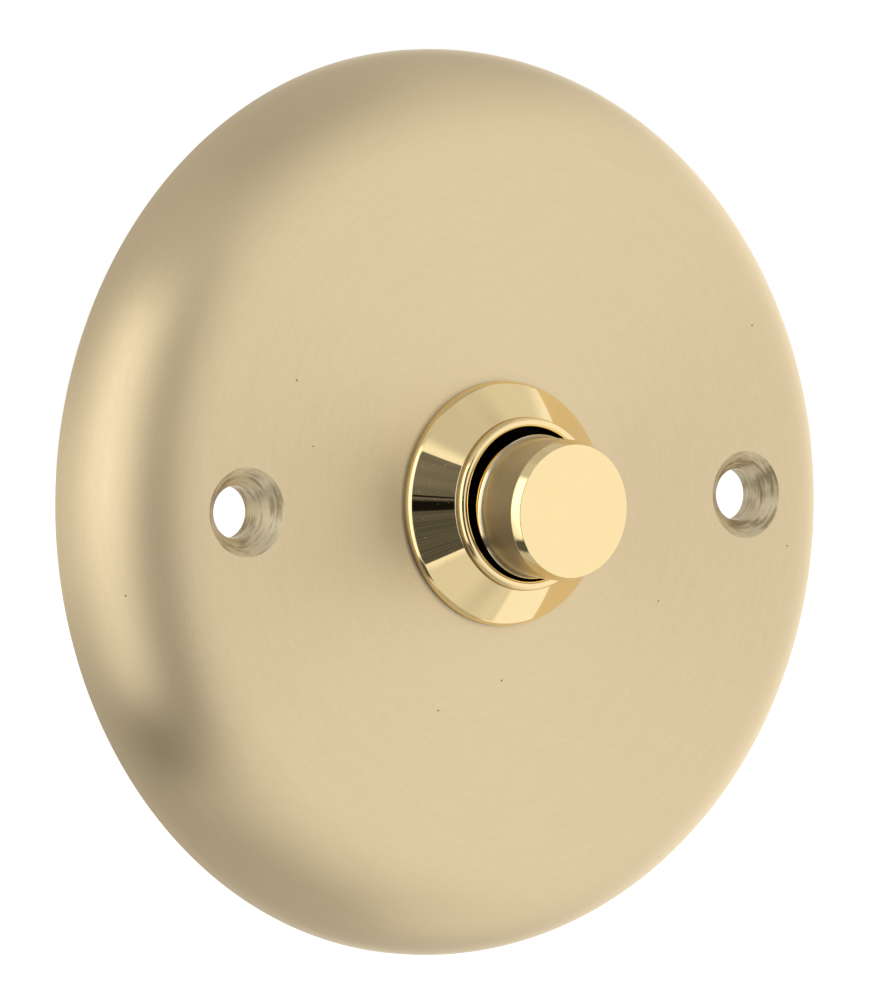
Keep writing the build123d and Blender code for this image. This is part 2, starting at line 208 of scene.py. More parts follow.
def noise(tree, place, scale, detail=2.0, rough=0.5):
    """Plain noise at a place, nearly always between NOISE_LOW and NOISE_HIGH."""
    node = tree.nodes.new("ShaderNodeTexNoise")
    wire(tree, place, node.inputs["Vector"])
    node.inputs["Scale"].default_value = scale
    node.inputs["Detail"].default_value = detail
    node.inputs["Roughness"].default_value = rough
    return node.outputs["Fac"]


# %% [markdown]
# All angles here are in degrees. The room starts at one level, and soft cards change it piece
# by piece. Their levels were found by matching the shading of the brushed plate, which sees
# nearly all of the room. The dark gap has a stepped top and bottom, a thin black line a little
# above the level of the camera and a black bar at it, as a tripod and a dark coat would give.
# They show only in the bezel's cone, as small as grains, yet they are what makes it look
# polished.

# %% Studio
ROOM_LEVEL = 1.04
# For each soft card: right edge, left edge and their softness, bottom, top and theirs, level.
# An edge that is None is open.
SOFT_CARDS = {
    "ceiling": (None, None, 0, 42, None, 6, 0.75),
    "floor": (-69, None, 3, None, -44, 3, 0.77),
    "ceiling_left": (-1, None, 15, 40, None, 5, 0.64),
    "ceiling_middle": (None, None, 0, 69, None, 6, 0.42),
    "floor_middle": (None, None, 0, None, -69, 5, 0.44),
    "right_wall": (None, -100, 10, -23, 23, 8, 1.48),
    "right_corner_high": (None, -105, 10, 25, None, 8, 0.59),
    "right_corner_low": (None, -108, 10, None, -29, 8, 0.60),
    "left_wall": (107, None, 4, None, None, 0, 0.55),
    "left_wall_middle": (107, None, 4, -18, 13, 8, 0.79),
    "over_window": (48, None, 6, 40, 63, 3, 0.62),
    "under_window": (43, 122, 4, -60, -42, 3, 0.10),
}
WINDOW_RIGHT = 52.5
WINDOW_LEFT = 107
WINDOW_SIDE_SOFT = 1
WINDOW_BOTTOM = -42
WINDOW_TOP = 41
WINDOW_END_SOFT = 5
WINDOW_LEVEL = 1.30
WINDOW_FOOT_BOTTOM = -25
WINDOW_FOOT_TOP = 5
WINDOW_FOOT_SHARE = 0.80
PANE_RIGHT = 66
PANE_LEFT = 101
PANE_SOFT = 5
PANE_LEVEL = 1.80
GAP_RIGHT = 14
GAP_RIGHT_SOFT = 3
GAP_END_SOFT = 0.4
# Each step in the gap's outline: its two angles to the left, and the height at each
GAP_TOP_STEP = (36.8, 39.6, 37.7, 32.6)
GAP_BOTTOM_STEP = (35.1, 36.7, -43.6, -40.6)
UPPER_GAP_LEVEL = 0.165
LOWER_GAP_LEVEL = 0.095
LEVELS_MEET = (1, 3)
CLOUD_SCALE = 0.08
CLOUD_SHARES = (0.7, 1.25)
STREAK_SCALE = 0.9
STREAK_SQUEEZE = 0.03
STREAK_SHARES = (0.65, 1.35)
BLACK_LEVEL = 0.008
BAR_BOTTOM = -6.3
BAR_TOP = 0.8
BAR_SOFT = 0.8
LINE_BOTTOM = 3.2
LINE_TOP = 4.5
LINE_SOFT = 0.3

world = bpy.data.worlds.new("studio")
bpy.context.scene.world = world
world.use_nodes = True
studio = world.node_tree
studio.nodes.clear()
towards = studio.nodes.new("ShaderNodeTexCoord").outputs["Generated"]
right, back, up = split(studio, towards)
cosine = math.cos(PLATE_TURN)
sine = math.sin(PLATE_TURN)
to_left = calc(studio, "SUBTRACT", product(studio, up, sine), product(studio, right, cosine))
to_front = calc(studio, "MULTIPLY", back, -1.0)
level_up = calc(studio, "ADD", product(studio, right, sine), product(studio, up, cosine))
left_angle = calc(studio, "DEGREES", calc(studio, "ARCTAN2", to_left, to_front))
height_angle = calc(studio, "DEGREES", calc(studio, "ARCSINE", level_up))

level = ROOM_LEVEL
for across_from, across_to, soft_across, up_from, up_to, soft_up, card_level in SOFT_CARDS.values():
    ends = [
        (left_angle, across_from, soft_across, 1),
        (left_angle, across_to, soft_across, -1),
        (height_angle, up_from, soft_up, 1),
        (height_angle, up_to, soft_up, -1),
    ]
    steps = [
        ramp(studio, angle, edge - soft, edge + soft, (1 - side) / 2, (1 + side) / 2)
        for angle, edge, soft, side in ends
        if edge is not None
    ]
    level = blend(studio, product(studio, *steps), level, card_level)
window = product(
    studio,
    band(studio, left_angle, WINDOW_RIGHT, WINDOW_LEFT, WINDOW_SIDE_SOFT),
    band(studio, height_angle, WINDOW_BOTTOM, WINDOW_TOP, WINDOW_END_SOFT),
)
pane = band(studio, left_angle, PANE_RIGHT, PANE_LEFT, PANE_SOFT)
window_level = product(
    studio,
    blend(studio, pane, WINDOW_LEVEL, PANE_LEVEL),
    ramp(studio, height_angle, WINDOW_FOOT_BOTTOM, WINDOW_FOOT_TOP, WINDOW_FOOT_SHARE, 1.0),
)
level = blend(studio, window, level, window_level)

gap_top = ramp(studio, left_angle, *GAP_TOP_STEP, smooth=False)
gap_bottom = ramp(studio, left_angle, *GAP_BOTTOM_STEP, smooth=False)
below_top = calc(studio, "SUBTRACT", gap_top, height_angle)
above_bottom = calc(studio, "SUBTRACT", height_angle, gap_bottom)
gap = product(
    studio,
    ramp(studio, left_angle, GAP_RIGHT - GAP_RIGHT_SOFT, GAP_RIGHT + GAP_RIGHT_SOFT),
    ramp(studio, left_angle, WINDOW_RIGHT - WINDOW_SIDE_SOFT, WINDOW_RIGHT + WINDOW_SIDE_SOFT, 1.0, 0.0),
    ramp(studio, below_top, -GAP_END_SOFT, GAP_END_SOFT),
    ramp(studio, above_bottom, -GAP_END_SOFT, GAP_END_SOFT),
)
squeezed = product(studio, left_angle, STREAK_SQUEEZE)
streaks = noise(studio, vector_of(studio, squeezed, 0.0, height_angle), STREAK_SCALE, 3.0)
streak_share = ramp(studio, streaks, NOISE_LOW, NOISE_HIGH, *STREAK_SHARES)
clouds = noise(studio, vector_of(studio, left_angle, 0.0, height_angle), CLOUD_SCALE)
cloud_share = ramp(studio, clouds, NOISE_LOW, NOISE_HIGH, *CLOUD_SHARES)
lower_gap = calc(studio, "MULTIPLY", streak_share, LOWER_GAP_LEVEL)
upper_gap = calc(studio, "MULTIPLY", cloud_share, UPPER_GAP_LEVEL)
gap_level = blend(studio, ramp(studio, height_angle, *LEVELS_MEET), lower_gap, upper_gap)
bar = band(studio, height_angle, BAR_BOTTOM, BAR_TOP, BAR_SOFT)
line = band(studio, height_angle, LINE_BOTTOM, LINE_TOP, LINE_SOFT)
gap_level = blend(studio, calc(studio, "ADD", bar, line), gap_level, BLACK_LEVEL)
level = blend(studio, gap, level, gap_level)

path = studio.nodes.new("ShaderNodeLightPath")
background = studio.nodes.new("ShaderNodeBackground")
background.inputs["Color"].default_value = (1, 1, 1, 1)
wire(studio, blend(studio, path.outputs["Is Camera Ray"], level, 1.0), background.inputs["Strength"])
output = studio.nodes.new("ShaderNodeOutputWorld")
wire(studio, background.outputs[0], output.inputs["Surface"])
print("studio", len(studio.nodes), "nodes")

# %% [markdown]
# The bell push hangs on a wall, so nothing stands on the floor. A pale floor well below it
# catches a faint shadow and closes the studio. It isn't part of the object.

# %% Floor
FLOOR_DROP = 40 * MM
FLOOR_HALF = 3.0
FLOOR_SHADE = (0.85, 0.85, 0.84, 1)
FLOOR_MATT = 0.9
FLOOR_GLOW = 0.5

floor_height = cad_box[0][2] - FLOOR_DROP
floor_mesh = bpy.data.meshes.new("floor")
corners = [(-1, -1), (1, -1), (1, 1), (-1, 1)]
floor_points = [(FLOOR_HALF * x, FLOOR_HALF * y, floor_height) for x, y in corners]
floor_mesh.from_pydata(floor_points, [], [(0, 1, 2, 3)])
floor = bpy.data.objects.new("floor", floor_mesh)
bpy.context.scene.collection.objects.link(floor)
floor.visible_glossy = False

floor_finish = bpy.data.materials.new("pale_floor")
floor_finish.use_nodes = True
floor_tree = floor_finish.node_tree
floor_shader = floor_tree.nodes["Principled BSDF"]
floor_shader.inputs["Base Color"].default_value = FLOOR_SHADE
floor_shader.inputs["Roughness"].default_value = FLOOR_MATT
floor_shader.inputs["Specular IOR Level"].default_value = 0.0
floor_path = floor_tree.nodes.new("ShaderNodeLightPath")
floor_shader.inputs["Emission Color"].default_value = (1, 1, 1, 1)
floor_glow = calc(floor_tree, "MULTIPLY", floor_path.outputs["Is Camera Ray"], FLOOR_GLOW)
wire(floor_tree, floor_glow, floor_shader.inputs["Emission Strength"])
floor.data.materials.append(floor_finish)
floor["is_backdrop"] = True
print("floor at", round(floor_height, 3))

# %% [markdown]
# A finish starts from Blender's own shader and the place on the piece in millimetres, so that
# every pattern has its real size. Metal pieces here differ in three things: their two shades,
# how matt they are, and the marks that the last tool left, which are shallow relief.

# %% Finish helpers
NOISE_MIDDLE = 0.5
SPECK_CORE = 0.6
HAIR_CORE = 0.3
HAIR_PATCHES = 1.7
HAIR_PATCH_SOFT = 0.03
SIDEWAYS = 0.25
NEAREST_RING = 0.01


def new_finish(name, metallic, roughness):
    """A material with its tree, its shader and the place on the piece in millimetres."""
    finish = bpy.data.materials.new(name)
    finish.use_nodes = True
    tree = finish.node_tree
    shader = tree.nodes["Principled BSDF"]
    shader.inputs["Metallic"].default_value = metallic
    shader.inputs["Roughness"].default_value = roughness
    scale = tree.nodes.new("ShaderNodeVectorMath")
    scale.operation = "SCALE"
    wire(tree, tree.nodes.new("ShaderNodeTexCoord").outputs["Object"], scale.inputs[0])
    scale.inputs["Scale"].default_value = 1 / MM
    return finish, tree, shader, scale.outputs[0]


def from_axis(tree, place):
    """The distance from the plate's axis."""
    x, _, z = split(tree, place)
    return calc(tree, "SQRT", calc(tree, "ADD", product(tree, x, x), product(tree, z, z)))


def ring_place(tree, place, per_turn, per_mm):
    """Where a point lies among rings about the plate's axis, without a seam."""
    x, y, z = split(tree, place)
    across = from_axis(tree, place)
    safe = calc(tree, "MAXIMUM", across, NEAREST_RING)
    return vector_of(
        tree,
        product(tree, calc(tree, "DIVIDE", x, safe), per_turn),
        product(tree, calc(tree, "DIVIDE", z, safe), per_turn),
        product(tree, calc(tree, "ADD", across, y), per_mm),
    )


def tint(tree, amount, dark, light):
    """A colour between two others, which may be sockets."""
    node = tree.nodes.new("ShaderNodeMix")
    node.data_type = "RGBA"
    wire(tree, amount, node.inputs[0])
    for shade, socket in ((dark, node.inputs[6]), (light, node.inputs[7])):
        wire(tree, shade if isinstance(shade, bpy.types.NodeSocket) else (*shade, 1), socket)
    return node.outputs[2]


def raise_surface(tree, shader, height, depth, strength):
    """Small relief: height from 0 to 1 over a depth in metres."""
    node = tree.nodes.new("ShaderNodeBump")
    node.inputs["Strength"].default_value = strength
    node.inputs["Distance"].default_value = depth
    wire(tree, height, node.inputs["Height"])
    wire(tree, node.outputs[0], shader.inputs["Normal"])


def specks(tree, place, spacing, radius):
    """1 on a few tiny dots, strewn at random about so many millimetres apart."""
    node = tree.nodes.new("ShaderNodeTexVoronoi")
    wire(tree, place, node.inputs["Vector"])
    node.inputs["Scale"].default_value = 1 / spacing
    core = SPECK_CORE * radius / spacing
    return ramp(tree, node.outputs["Distance"], core, radius / spacing, 1.0, 0.0)


def hairs(tree, place, scale, width, share):
    """1 on fine curved scratches: the thin lines where a noise passes its middle."""
    wander = noise(tree, place, scale, 0.0)
    off_line = calc(tree, "ABSOLUTE", calc(tree, "SUBTRACT", wander, NOISE_MIDDLE))
    line = ramp(tree, off_line, HAIR_CORE * width, width, 1.0, 0.0)
    patches = noise(tree, place, scale * HAIR_PATCHES, 1.0)
    return product(tree, line, ramp(tree, patches, share, share + HAIR_PATCH_SOFT))


def spread_across(tree, shader, x, z, amount):
    """Spreads reflections across marks that run round the axis where x and z are nothing."""
    wire(tree, vector_of(tree, calc(tree, "MULTIPLY", z, -1.0), 0.0, x), shader.inputs["Tangent"])
    shader.inputs["Anisotropic"].default_value = amount
    shader.inputs["Anisotropic Rotation"].default_value = SIDEWAYS


# %% [markdown]
# Brushed metal: a fixed pad rubbed the plate while it spun, so the marks run in rings. Seen
# close up, each mark is a short arc. The pattern is noise read in rings: the direction from
# the axis changes slowly, the distance from it changes fast. Marks like these spread a
# reflection across them and keep it sharp along them, which the shader calls anisotropic.

# %% Satin brass for the plate
SATIN_DARK = (0.735, 0.597, 0.372)
SATIN_LIGHT = (0.765, 0.622, 0.390)
SATIN_MATT = (0.41, 0.39)
SATIN_SPREAD = 0.75
SATIN_RELIEF = 0.0012 * MM
FINE_RINGS = (30.0, 8.0)
FINE_SHARE = 0.65
LONG_RINGS = (6.0, 2.6)
LONG_SHARE = 0.35
SPECK_BROWN = (0.22, 0.15, 0.07)
SPECK_SPACING = 4.5
SPECK_RADIUS = 0.11

satin_brass, tree, shader, place = new_finish("satin_brass", 1.0, 0.40)
fine_marks = noise(tree, ring_place(tree, place, *FINE_RINGS), 1.0, 3.0, 0.6)
long_marks = noise(tree, ring_place(tree, place, *LONG_RINGS), 1.0)
marks = calc(tree, "ADD", product(tree, fine_marks, FINE_SHARE), product(tree, long_marks, LONG_SHARE))
shade = ramp(tree, marks, NOISE_LOW, NOISE_HIGH)
dots = specks(tree, place, SPECK_SPACING, SPECK_RADIUS)
brushed = tint(tree, shade, SATIN_DARK, SATIN_LIGHT)
wire(tree, tint(tree, dots, brushed, SPECK_BROWN), shader.inputs["Base Color"])
wire(tree, blend(tree, shade, *SATIN_MATT), shader.inputs["Roughness"])
x, _, z = split(tree, place)
spread_across(tree, shader, x, z, SATIN_SPREAD)
raise_surface(tree, shader, marks, SATIN_RELIEF, 0.5)
print(satin_brass.name, len(tree.nodes), "nodes")

# %% [markdown]
# The bezel and the button are polished. Polish is never perfect: there are hairlines from
# the last cloth and a few scratches, which show only in the dark part of a reflection, where
# they pick up light from beside it. The button's side and the upright walls of the lip and the
# rim were only turned, so they are a shade rougher, and their colour is also darkened: painted
# shade for the shadow and the dark reflections close beside them. It is darker still towards
# the bottom. Down in the gap round the button the finish turns nearly black below the lip,
# inside its bore: painted shade for that deep, narrow recess.

# %% Polished brass
POLISHED_DARK = (0.935, 0.740, 0.390)
POLISHED = (0.95, 0.755, 0.405)
# Painted shade: the gap round the button is coloured nearly black for its deep shade
GAP_SHADE_PAINTED = (0.012, 0.010, 0.007)
# Painted shade: the turned walls are coloured darker for the shadow and dark reflections beside them
TURNED_SIDE_SHADED = (0.54, 0.49, 0.38)
# The turned walls get darker towards the bottom
SIDE_DARKER_BELOW = (0.30, 0.27, 0.23)
POLISH_MATT = (0.015, 0.045)
SCRATCH_MATT = 0.30
TURNED_MATT = 0.25
GAP_MATT = 0.6
HAZE_SCALE = 0.8
CLOTH_RINGS = (1.2, 14.0)
CLOTH_RELIEF = 0.0003 * MM
SCRATCH_SCALE = 1.1
SCRATCH_WIDTH = 0.006
SCRATCH_SHARE = 0.56
# How high above the plate's axis the darkening starts and is full, in millimetres
DARKENING_FROM = 1.0
DARKENING_TO = -5.0
# Distances from the plate's axis and from the wall, in millimetres
BORE_EDGE = 6.47
GAP_EDGE = 14.38
EDGE_BLEND = 0.05
SIDE_FROM = 15.35
SIDE_TO = 19.55
SIDE_BLEND = 0.1
SIDE_REACH = 6.1
SIDE_REACH_BLEND = 0.3
BUTTON_DROOP = math.radians(3.6)
SIDE_LEAN = math.tan(BUTTON_DROOP)
LIP_WALL_FROM = 13.74
LIP_WALL_TO = 14.12
LIP_WALL_IN = 7.1
LIP_WALL_OUT = 7.3
WALL_BLEND = 0.04
RIM_WALL_TO = 10.93
RIM_WALL_BLEND = 0.08
RIM_WALL_IN = (9.9, 10.0)

polished_brass, tree, shader, place = new_finish("polished_brass", 1.0, 0.05)
haze = noise(tree, place, HAZE_SCALE, 3.0)
cloth_marks = noise(tree, ring_place(tree, place, *CLOTH_RINGS), 1.0)
scratches = hairs(tree, place, SCRATCH_SCALE, SCRATCH_WIDTH, SCRATCH_SHARE)
_, y, z = split(tree, place)
across = from_axis(tree, place)
inside_bore = ramp(tree, across, BORE_EDGE, BORE_EDGE + EDGE_BLEND, 1.0, 0.0)
below_lip = ramp(tree, y, -GAP_EDGE - EDGE_BLEND, -GAP_EDGE)
in_gap = product(tree, inside_bore, below_lip)
along_button = calc(tree, "ADD", y, product(tree, z, SIDE_LEAN))
on_side = product(
    tree,
    band(tree, along_button, -SIDE_TO, -SIDE_FROM, SIDE_BLEND),
    ramp(tree, across, SIDE_REACH, SIDE_REACH + SIDE_REACH_BLEND, 1.0, 0.0),
)
on_lip = product(
    tree,
    band(tree, y, -LIP_WALL_TO, -LIP_WALL_FROM, WALL_BLEND),
    band(tree, across, LIP_WALL_IN, LIP_WALL_OUT, WALL_BLEND),
)
on_rim = product(
    tree,
    ramp(tree, y, -RIM_WALL_TO, -RIM_WALL_TO + RIM_WALL_BLEND),
    ramp(tree, across, *RIM_WALL_IN),
)
# Real dullness and painted shade: the turned walls are rougher, and their colour is darkened
dull_and_shaded = calc(tree, "MAXIMUM", on_side, calc(tree, "MAXIMUM", on_lip, on_rim))
shaded_turned_side = tint(tree, ramp(tree, z, DARKENING_TO, DARKENING_FROM), SIDE_DARKER_BELOW, TURNED_SIDE_SHADED)
bright = tint(tree, dull_and_shaded, tint(tree, haze, POLISHED_DARK, POLISHED), shaded_turned_side)
# Painted shade: below the lip, inside the bore, the colour turns nearly black
wire(tree, tint(tree, in_gap, bright, GAP_SHADE_PAINTED), shader.inputs["Base Color"])
polish = blend(tree, scratches, blend(tree, haze, *POLISH_MATT), SCRATCH_MATT)
polish = blend(tree, dull_and_shaded, polish, TURNED_MATT)
wire(tree, blend(tree, in_gap, polish, GAP_MATT), shader.inputs["Roughness"])
raise_surface(tree, shader, cloth_marks, CLOTH_RELIEF, 0.3)
print(polished_brass.name, len(tree.nodes), "nodes")

# %% [markdown]
# Inside the fixing holes the brass is as the countersink left it, with marks round the cone
# and a little brown from the lacquer that ran in. The tree measures sideways from the nearer
# hole, so that one finish serves both. The hollow back of the plate was never worked after
# casting: it is matt and a little grainy, as sand leaves it.

# %% Bored brass and cast brass
FIXING_SPACING = 52 * MM
BORED_DARK = (0.46, 0.36, 0.21)
BORED_LIGHT = (0.82, 0.70, 0.47)
BORED_SHADES = (0.38, 0.54)
BORED_MATT = (0.36, 0.46)
BORED_SPREAD = 0.6
BORED_RELIEF = 0.014 * MM
MARKS_ROUND = 0.5
MARKS_DEEP = 6.0
STAIN_DEEP = 2.5
STAIN_SCALE = 0.45
CAST_DARK = (0.46, 0.35, 0.18)
CAST_LIGHT = (0.66, 0.52, 0.29)
CAST_MATT = (0.45, 0.62)
CAST_RELIEF = 0.03 * MM
CAST_GRAINS = 3.0
CAST_PATCHES = 0.12

bored_brass, tree, shader, place = new_finish("bored_brass", 1.0, 0.42)
x, y, z = split(tree, place)
beside_hole = calc(tree, "SUBTRACT", x, product(tree, calc(tree, "SIGN", x), FIXING_SPACING / 2 / MM))
turned = vector_of(
    tree,
    product(tree, beside_hole, MARKS_ROUND),
    product(tree, y, MARKS_DEEP),
    product(tree, z, MARKS_ROUND),
)
turning_marks = noise(tree, turned, 1.0, 3.0, 0.6)
stain = noise(tree, vector_of(tree, x, product(tree, y, STAIN_DEEP), z), STAIN_SCALE, 3.0)
shade = calc(tree, "ADD", product(tree, turning_marks, 0.5), product(tree, stain, 0.5))
bored_shade = tint(tree, ramp(tree, shade, *BORED_SHADES), BORED_DARK, BORED_LIGHT)
wire(tree, bored_shade, shader.inputs["Base Color"])
wire(tree, blend(tree, shade, *BORED_MATT), shader.inputs["Roughness"])
spread_across(tree, shader, beside_hole, z, BORED_SPREAD)
raise_surface(tree, shader, turning_marks, BORED_RELIEF, 0.5)
print(bored_brass.name, len(tree.nodes), "nodes")

cast_brass, tree, shader, place = new_finish("cast_brass", 1.0, 0.5)
grains = noise(tree, place, CAST_GRAINS, 4.0, 0.7)
patches = noise(tree, place, CAST_PATCHES, 3.0)
wire(tree, tint(tree, patches, CAST_DARK, CAST_LIGHT), shader.inputs["Base Color"])
wire(tree, blend(tree, grains, *CAST_MATT), shader.inputs["Roughness"])
raise_surface(tree, shader, grains, CAST_RELIEF, 0.6)
print(cast_brass.name, len(tree.nodes), "nodes")

# %% [markdown]
# The works behind the plate are seen when it is taken off the wall. Each slot of the record
# has one finish. A pressed or turned metal piece shows faint rolling marks and a mottled
# tarnish. The screws are zinc plated, which leaves a fine frost. The base is black moulding
# resin with a dull skin, a little glossier where it touched the mould, and the plunger is the
# same resin in ivory.

# %% Finishes for the works
# For each metal: its dark and light shade, its roughness from and to, its grain and its relief
WORKED_METALS = {
    "plain_brass": ((0.50, 0.36, 0.15), (0.74, 0.58, 0.29), (0.24, 0.36), 9.0, 0.006),
    "silver_tip": ((0.60, 0.59, 0.56), (0.83, 0.82, 0.79), (0.28, 0.42), 12.0, 0.004),
    "steel": ((0.44, 0.45, 0.47), (0.66, 0.67, 0.70), (0.30, 0.44), 14.0, 0.005),
    "spring_steel": ((0.20, 0.20, 0.22), (0.40, 0.40, 0.43), (0.24, 0.34), 10.0, 0.003),
}
# For each resin: its dark and light shade, and its roughness from and to
MOULDED_RESINS = {
    "black_moulding": ((0.010, 0.009, 0.008), (0.026, 0.022, 0.019), (0.26, 0.42)),
    "ivory_moulding": ((0.62, 0.55, 0.40), (0.76, 0.70, 0.56), (0.30, 0.42)),
}
MOTTLE_SCALE = 0.6
MOTTLE_SHARE = 0.7
ROLLED_ALONG = 0.4
ROLLED_ACROSS = 6.0
ROLLED_SHARE = 0.3
METAL_SHADES = (0.35, 0.65)
FLOW_SCALE = 0.25
SKIN_SCALE = 4.0
SKIN_RELIEF = 0.006 * MM


def worked_metal(name, dark, light, matt, grain, relief):
    """A metal with mottled shades, rolling marks and a fine grain."""
    finish, tree, shader, place = new_finish(name, 1.0, matt[0])
    mottle = noise(tree, place, MOTTLE_SCALE, 4.0, 0.6)
    fine = noise(tree, place, grain, 3.0, 0.7)
    x, y, z = split(tree, place)
    along = product(tree, x, ROLLED_ALONG)
    across, deep = [product(tree, side, ROLLED_ACROSS) for side in (y, z)]
    rolled = noise(tree, vector_of(tree, along, across, deep), 1.0)
    shade = calc(tree, "ADD", product(tree, mottle, MOTTLE_SHARE), product(tree, rolled, ROLLED_SHARE))
    wire(tree, tint(tree, ramp(tree, shade, *METAL_SHADES), dark, light), shader.inputs["Base Color"])
    wire(tree, blend(tree, shade, *matt), shader.inputs["Roughness"])
    raise_surface(tree, shader, fine, relief * MM, 0.5)
    return finish


def moulded_resin(name, dark, light, matt):
    """A moulding resin with cloudy flow marks and a faintly uneven skin."""
    finish, tree, shader, place = new_finish(name, 0.0, matt[0])
    flow = noise(tree, place, FLOW_SCALE, 5.0, 0.6)
    skin = noise(tree, place, SKIN_SCALE)
    shade = ramp(tree, flow, NOISE_LOW, NOISE_HIGH)
    wire(tree, tint(tree, shade, dark, light), shader.inputs["Base Color"])
    wire(tree, blend(tree, flow, *matt), shader.inputs["Roughness"])
    raise_surface(tree, shader, skin, SKIN_RELIEF, 0.4)
    return finish


finishes = {"satin_brass": satin_brass, "polished_brass": polished_brass}
for name, looks in WORKED_METALS.items():
    finishes[name] = worked_metal(name, *looks)
for name, looks in MOULDED_RESINS.items():
    finishes[name] = moulded_resin(name, *looks)
for subpart in frame["record"]["subparts"]:
    node = frame["nodes"][subpart["node"]]
    node.data.materials.clear()
    node.data.materials.append(finishes[subpart["material_slot"]])
print("finishes", sorted(finishes))

# %% [markdown]
# A turned piece is one outline carried round an axis. Geometry Nodes say that in a few lines:
# a grid has one column for each point of the outline and one row for each step round, and
# each grid point is moved to its outline point, turned by its share of the circle. The same
# tree makes the plate, the bezel, the button, the bosses and the cutters for the holes.

# %% Turning tree
WELD = 1e-7


def new_tree(name, *sockets):
    """A Geometry Nodes tree with named inputs and one geometry output."""
    tree = bpy.data.node_groups.new(name, "GeometryNodeTree")
    for label, kind in sockets:
        tree.interface.new_socket(label, in_out="INPUT", socket_type=kind)
    tree.interface.new_socket("Geometry", in_out="OUTPUT", socket_type="NodeSocketGeometry")
    return tree, tree.nodes.new("NodeGroupInput").outputs, tree.nodes.new("NodeGroupOutput").inputs[0]


def put(tree, kind, settings=None, **sockets):
    """A node with its settings, and with its named sockets wired."""
    node = tree.nodes.new(kind)
    for name, value in (settings or {}).items():
        setattr(node, name, value)
    for name, value in sockets.items():
        wire(tree, value, node.inputs[name.replace("_", " ")])
    return node


turning, given, result = new_tree(
    "turning",
    ("Outline", "NodeSocketGeometry"),
    ("Steps round", "NodeSocketInt"),
    ("Finish", "NodeSocketMaterial"),
)
counted = put(turning, "GeometryNodeAttributeDomainSize", Geometry=given["Outline"])
rows = calc(turning, "ADD", given["Steps round"], 1.0)
sheet = put(turning, "GeometryNodeMeshGrid", Vertices_X=counted.outputs["Point Count"], Vertices_Y=rows)
index = turning.nodes.new("GeometryNodeInputIndex").outputs[0]
column = calc(turning, "FLOOR", calc(turning, "DIVIDE", calc(turning, "ADD", index, 0.5), rows))
row = calc(turning, "SUBTRACT", index, calc(turning, "MULTIPLY", column, rows))
outline_point = put(
    turning,
    "GeometryNodeSampleIndex",
    {"data_type": "FLOAT_VECTOR"},
    Geometry=given["Outline"],
    Value=turning.nodes.new("GeometryNodeInputPosition").outputs[0],
    Index=column,
)
radius, depth, _ = split(turning, outline_point.outputs[0])
angle = calc(turning, "MULTIPLY", calc(turning, "DIVIDE", row, given["Steps round"]), TURN)
turned_point = vector_of(
    turning,
    calc(turning, "MULTIPLY", radius, calc(turning, "COSINE", angle)),
    depth,
    calc(turning, "MULTIPLY", radius, calc(turning, "SINE", angle)),
)
moved = put(turning, "GeometryNodeSetPosition", Geometry=sheet.outputs["Mesh"], Position=turned_point)
closed = put(turning, "GeometryNodeMergeByDistance", Geometry=moved.outputs[0], Distance=WELD)
real = put(turning, "GeometryNodeRealizeInstances", Geometry=closed.outputs[0])
dressed = put(turning, "GeometryNodeSetMaterial", Geometry=real.outputs[0], Material=given["Finish"])
wire(turning, dressed.outputs[0], result)
print("turning", len(turning.nodes), "nodes")

# %% [markdown]
# An outline is a list of points, with its round stretches as arcs. A turned piece starts as
# that line, runs through the tree and is kept as a plain mesh. Its normals then point outwards,
# and its surface is smooth except where it really turns a corner.

# %% Outlines and turning
SHARP_ANGLE = math.radians(30)


def arc(centre, radius, start, end, steps):
    """Points on an arc, from one angle to another, in degrees."""
    points = []
    for number in range(steps + 1):
        angle = math.radians(start + (end - start) * number / steps)
        points.append((centre[0] + radius * math.cos(angle), centre[1] + radius * math.sin(angle)))
    return points


def round_corner(before, corner, after, radius, steps=8):
    """The points of an arc that rounds a corner and touches both its sides."""
    before, corner, after = Vector(before), Vector(corner), Vector(after)
    back = (before - corner).normalized()
    on = (after - corner).normalized()
    half = back.angle(on) / 2
    centre = corner + (back + on).normalized() * radius / math.sin(half)
    start = corner + back * radius / math.tan(half) - centre
    end = corner + on * radius / math.tan(half) - centre
    turn = start.angle_signed(end)
    points = []
    for number in range(steps + 1):
        points.append(tuple(centre + Matrix.Rotation(-turn * number / steps, 2) @ start))
    return points


def run_tree(piece, tree, **values):
    """Runs a tree on a piece with its named inputs, and keeps the result as a plain mesh."""
    modifier = piece.modifiers.new(tree.name, "NODES")
    modifier.node_group = tree
    for socket in tree.interface.items_tree:
        if socket.in_out == "INPUT" and socket.name in values:
            modifier[socket.identifier] = values[socket.name]
    evaluated = piece.evaluated_get(bpy.context.evaluated_depsgraph_get())
    mesh = bpy.data.meshes.new_from_object(evaluated)
    piece.modifiers.remove(modifier)
    piece.data = mesh
    mesh.name = piece.name
    return piece


def face_outwards(piece):
    """Normals outwards, smooth surfaces, and sharp edges where the surface really turns."""
    work = bmesh.new()
    work.from_mesh(piece.data)
    bmesh.ops.recalc_face_normals(work, faces=work.faces)
    if work.calc_volume(signed=True) < 0:
        bmesh.ops.reverse_faces(work, faces=work.faces)
    work.to_mesh(piece.data)
    work.free()
    piece.data.shade_smooth()
    piece.data.set_sharp_from_angle(angle=SHARP_ANGLE)
    return piece


